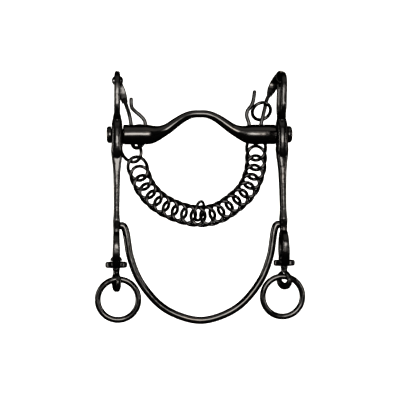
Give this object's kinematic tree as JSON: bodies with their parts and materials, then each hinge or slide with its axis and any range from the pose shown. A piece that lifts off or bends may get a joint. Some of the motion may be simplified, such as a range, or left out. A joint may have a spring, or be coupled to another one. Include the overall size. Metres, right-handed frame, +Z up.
{
  "type": "ported curb bit",
  "caption": "Blackened-steel ported curb bit: fixed loop cheeks, a joining bar under the chin, swivelled rein rings, and a double-link curb chain on two hooks.",
  "frame": {"origin": "middle of the mouthpiece's axis, half-way between the cheeks", "axes": "+X to the right cheek along the mouthpiece, +Y to the back, towards the curb chain, +Z up, towards the headstall loops"},
  "size_m": [0.175, 0.0386, 0.2115],
  "materials": {
    "forged_steel": "satin",
    "polished_steel": "polished",
    "wire_steel": "polished"
  },
  "bodies": {
    "bit": {"mouthpiece": "polished_steel", "left_cheek": "forged_steel", "right_cheek": "forged_steel", "lower_bar": "polished_steel"},
    "left_swivel": {"left_swivel": "forged_steel", "left_swivel_head": "forged_steel"},
    "left_rein_ring": {"left_rein_ring": "polished_steel"},
    "right_swivel": {"right_swivel": "forged_steel", "right_swivel_head": "forged_steel"},
    "right_rein_ring": {"right_rein_ring": "polished_steel"},
    "left_curb_hook": {"left_curb_hook": "wire_steel"},
    "right_curb_hook": {"right_curb_hook": "wire_steel"},
    "curb_link_01": {"curb_link_01": "wire_steel"},
    "curb_link_02": {"curb_link_02": "wire_steel"},
    "curb_link_03": {"curb_link_03": "wire_steel"},
    "curb_link_04": {"curb_link_04": "wire_steel"},
    "curb_link_05": {"curb_link_05": "wire_steel"},
    "curb_link_06": {"curb_link_06": "wire_steel"},
    "curb_link_07": {"curb_link_07": "wire_steel"},
    "curb_link_08": {"curb_link_08": "wire_steel"},
    "curb_link_09": {"curb_link_09": "wire_steel"},
    "curb_link_10": {"curb_link_10": "wire_steel"},
    "curb_link_11": {"curb_link_11": "wire_steel"},
    "curb_link_12": {"curb_link_12": "wire_steel"},
    "curb_link_13": {"curb_link_13": "wire_steel"},
    "curb_link_14": {"curb_link_14": "wire_steel"},
    "curb_link_15": {"curb_link_15": "wire_steel"},
    "curb_link_16": {"curb_link_16": "wire_steel"},
    "curb_link_17": {"curb_link_17": "wire_steel"},
    "curb_link_18": {"curb_link_18": "wire_steel"},
    "curb_link_19": {"curb_link_19": "wire_steel"},
    "curb_link_20": {"curb_link_20": "wire_steel"},
    "curb_link_21": {"curb_link_21": "wire_steel"},
    "left_spare_link": {"left_spare_link": "wire_steel"},
    "right_spare_link": {"right_spare_link": "wire_steel"},
    "lip_strap_ring": {"lip_strap_ring": "wire_steel"}
  },
  "joints": [
    {"name": "left_swivel_turn", "type": "hinge", "parent": "bit", "child": "left_swivel", "pos_m": [-0.06966, 0, -0.107], "axis": [0, 0, 1], "continuous": true},
    {"name": "left_rein_ring_swing", "type": "hinge", "parent": "left_swivel", "child": "left_rein_ring", "pos_m": [-0.06966, 0, -0.1189], "axis": [1, 0, 0], "range_deg": [-45, 45]},
    {"name": "right_swivel_turn", "type": "hinge", "parent": "bit", "child": "right_swivel", "pos_m": [0.06966, 0, -0.107], "axis": [0, 0, 1], "continuous": true},
    {"name": "right_rein_ring_swing", "type": "hinge", "parent": "right_swivel", "child": "right_rein_ring", "pos_m": [0.06966, 0, -0.1183], "axis": [1, 0, 0], "range_deg": [-45, 45]},
    {"name": "left_hook_swing", "type": "hinge", "parent": "bit", "child": "left_curb_hook", "pos_m": [-0.0677, 0.007, 0.0445], "axis": [1, 0, 0], "range_deg": [-0.5, 20]},
    {"name": "right_hook_swing", "type": "hinge", "parent": "bit", "child": "right_curb_hook", "pos_m": [0.069, 0.007, 0.0445], "axis": [1, 0, 0], "range_deg": [-0.5, 20]},
    {"name": "curb_chain_swing", "type": "hinge", "parent": "left_curb_hook", "child": "curb_link_01", "pos_m": [-0.051, 0.0138, -0.0047], "axis": [0.9999, -0.008, 0.012], "range_deg": [-10, 13]},
    {"name": "link_02_roll", "type": "hinge", "parent": "curb_link_01", "child": "curb_link_02", "pos_m": [-0.05118, 0.014, -0.02754], "axis": [0.2914, 0, -0.9566], "range_deg": [-3.17, 3.17]},
    {"name": "link_03_roll", "type": "hinge", "parent": "curb_link_01", "child": "curb_link_03", "pos_m": [-0.04874, 0.014, -0.03531], "axis": [0.3309, 0, -0.9437], "range_deg": [-6.23, 6.23]},
    {"name": "link_04_roll", "type": "hinge", "parent": "curb_link_01", "child": "curb_link_04", "pos_m": [-0.04542, 0.014, -0.04274], "axis": [0.5145, 0, -0.8575], "range_deg": [-9.13, 9.13]},
    {"name": "link_05_roll", "type": "hinge", "parent": "curb_link_01", "child": "curb_link_05", "pos_m": [-0.04064, 0.014, -0.04933], "axis": [0.6561, 0, -0.7547], "range_deg": [-11.81, 11.81]},
    {"name": "link_06_roll", "type": "hinge", "parent": "curb_link_01", "child": "curb_link_06", "pos_m": [-0.03478, 0.014, -0.05495], "axis": [0.7805, 0, -0.6252], "range_deg": [-14.19, 14.19]},
    {"name": "link_07_roll", "type": "hinge", "parent": "curb_link_01", "child": "curb_link_07", "pos_m": [-0.02798, 0.014, -0.05945], "axis": [0.8747, 0, -0.4847], "range_deg": [-16.23, 16.23]},
    {"name": "link_08_roll", "type": "hinge", "parent": "curb_link_01", "child": "curb_link_08", "pos_m": [-0.02063, 0.014, -0.06296], "axis": [0.925, 0, -0.3799], "range_deg": [-17.87, 17.87]},
    {"name": "link_09_roll", "type": "hinge", "parent": "curb_link_01", "child": "curb_link_09", "pos_m": [-0.01295, 0.014, -0.06563], "axis": [0.9613, 0, -0.2756], "range_deg": [-19.07, 19.07]},
    {"name": "link_10_roll", "type": "hinge", "parent": "curb_link_01", "child": "curb_link_10", "pos_m": [-0.005, 0.014, -0.06739], "axis": [0.9888, 0, -0.1492], "range_deg": [-19.81, 19.81]},
    {"name": "link_11_roll", "type": "hinge", "parent": "curb_link_01", "child": "curb_link_11", "pos_m": [0.00312, 0.014, -0.06788], "axis": [0.9993, 0, 0.0381], "range_deg": [-20, 20]},
    {"name": "link_12_roll", "type": "hinge", "parent": "curb_link_01", "child": "curb_link_12", "pos_m": [0.01118, 0.014, -0.06674], "axis": [0.9702, 0, 0.2423], "range_deg": [-19.81, 19.81]},
    {"name": "link_13_roll", "type": "hinge", "parent": "curb_link_01", "child": "curb_link_13", "pos_m": [0.01879, 0.014, -0.06391], "axis": [0.8898, 0, 0.4563], "range_deg": [-19.07, 19.07]},
    {"name": "link_14_roll", "type": "hinge", "parent": "curb_link_01", "child": "curb_link_14", "pos_m": [0.0257, 0.014, -0.0596], "axis": [0.8133, 0, 0.5819], "range_deg": [-17.87, 17.87]},
    {"name": "link_15_roll", "type": "hinge", "parent": "curb_link_01", "child": "curb_link_15", "pos_m": [0.03216, 0.014, -0.05464], "axis": [0.7712, 0, 0.6366], "range_deg": [-16.23, 16.23]},
    {"name": "link_16_roll", "type": "hinge", "parent": "curb_link_01", "child": "curb_link_16", "pos_m": [0.03811, 0.014, -0.04908], "axis": [0.6742, 0, 0.7385], "range_deg": [-14.19, 14.19]},
    {"name": "link_17_roll", "type": "hinge", "parent": "curb_link_01", "child": "curb_link_17", "pos_m": [0.04279, 0.014, -0.04244], "axis": [0.4645, 0, 0.8856], "range_deg": [-11.81, 11.81]},
    {"name": "link_18_roll", "type": "hinge", "parent": "curb_link_01", "child": "curb_link_18", "pos_m": [0.04594, 0.014, -0.03494], "axis": [0.3236, 0, 0.9462], "range_deg": [-9.13, 9.13]},
    {"name": "link_19_roll", "type": "hinge", "parent": "curb_link_01", "child": "curb_link_19", "pos_m": [0.04799, 0.014, -0.02707], "axis": [0.131, 0, 0.9914], "range_deg": [-6.23, 6.23]},
    {"name": "link_20_roll", "type": "hinge", "parent": "curb_link_01", "child": "curb_link_20", "pos_m": [0.04859, 0.014, -0.01895], "axis": [0.0266, 0, 0.9996], "range_deg": [-3.17, 3.17]},
    {"name": "link_21_roll", "type": "hinge", "parent": "curb_link_01", "child": "curb_link_21", "pos_m": [0.0487, 0.014, -0.0108], "axis": [0.0254, 0, 0.9997], "range_deg": [-1.25, 1.25]},
    {"name": "left_spare_link_swing", "type": "hinge", "parent": "left_curb_hook", "child": "left_spare_link", "pos_m": [-0.046, 0.0173, 0.0045], "axis": [1, 0, 0], "range_deg": [-3, 20]},
    {"name": "right_spare_link_swing", "type": "hinge", "parent": "right_curb_hook", "child": "right_spare_link", "pos_m": [0.0545, 0.0111, 0.02], "axis": [1, 0, 0], "range_deg": [-5, 20]},
    {"name": "lip_strap_ring_swing", "type": "hinge", "parent": "curb_link_11", "child": "lip_strap_ring", "pos_m": [0.00019, 0.01349, -0.071], "axis": [1, 0, 0], "range_deg": [-7, 4]}
  ],
  "couplings": [
    {"joint": "right_hook_swing", "follows": "left_hook_swing", "ratio": 1},
    {"joint": "link_02_roll", "follows": "link_11_roll", "ratio": 0.156},
    {"joint": "link_03_roll", "follows": "link_11_roll", "ratio": 0.309},
    {"joint": "link_04_roll", "follows": "link_11_roll", "ratio": 0.454},
    {"joint": "link_05_roll", "follows": "link_11_roll", "ratio": 0.588},
    {"joint": "link_06_roll", "follows": "link_11_roll", "ratio": 0.707},
    {"joint": "link_07_roll", "follows": "link_11_roll", "ratio": 0.809},
    {"joint": "link_08_roll", "follows": "link_11_roll", "ratio": 0.891},
    {"joint": "link_09_roll", "follows": "link_11_roll", "ratio": 0.951},
    {"joint": "link_10_roll", "follows": "link_11_roll", "ratio": 0.988},
    {"joint": "link_12_roll", "follows": "link_11_roll", "ratio": 0.988},
    {"joint": "link_13_roll", "follows": "link_11_roll", "ratio": 0.951},
    {"joint": "link_14_roll", "follows": "link_11_roll", "ratio": 0.891},
    {"joint": "link_15_roll", "follows": "link_11_roll", "ratio": 0.809},
    {"joint": "link_16_roll", "follows": "link_11_roll", "ratio": 0.707},
    {"joint": "link_17_roll", "follows": "link_11_roll", "ratio": 0.588},
    {"joint": "link_18_roll", "follows": "link_11_roll", "ratio": 0.454},
    {"joint": "link_19_roll", "follows": "link_11_roll", "ratio": 0.309},
    {"joint": "link_20_roll", "follows": "link_11_roll", "ratio": 0.156},
    {"joint": "link_21_roll", "follows": "link_11_roll", "ratio": 0.06}
  ]
}
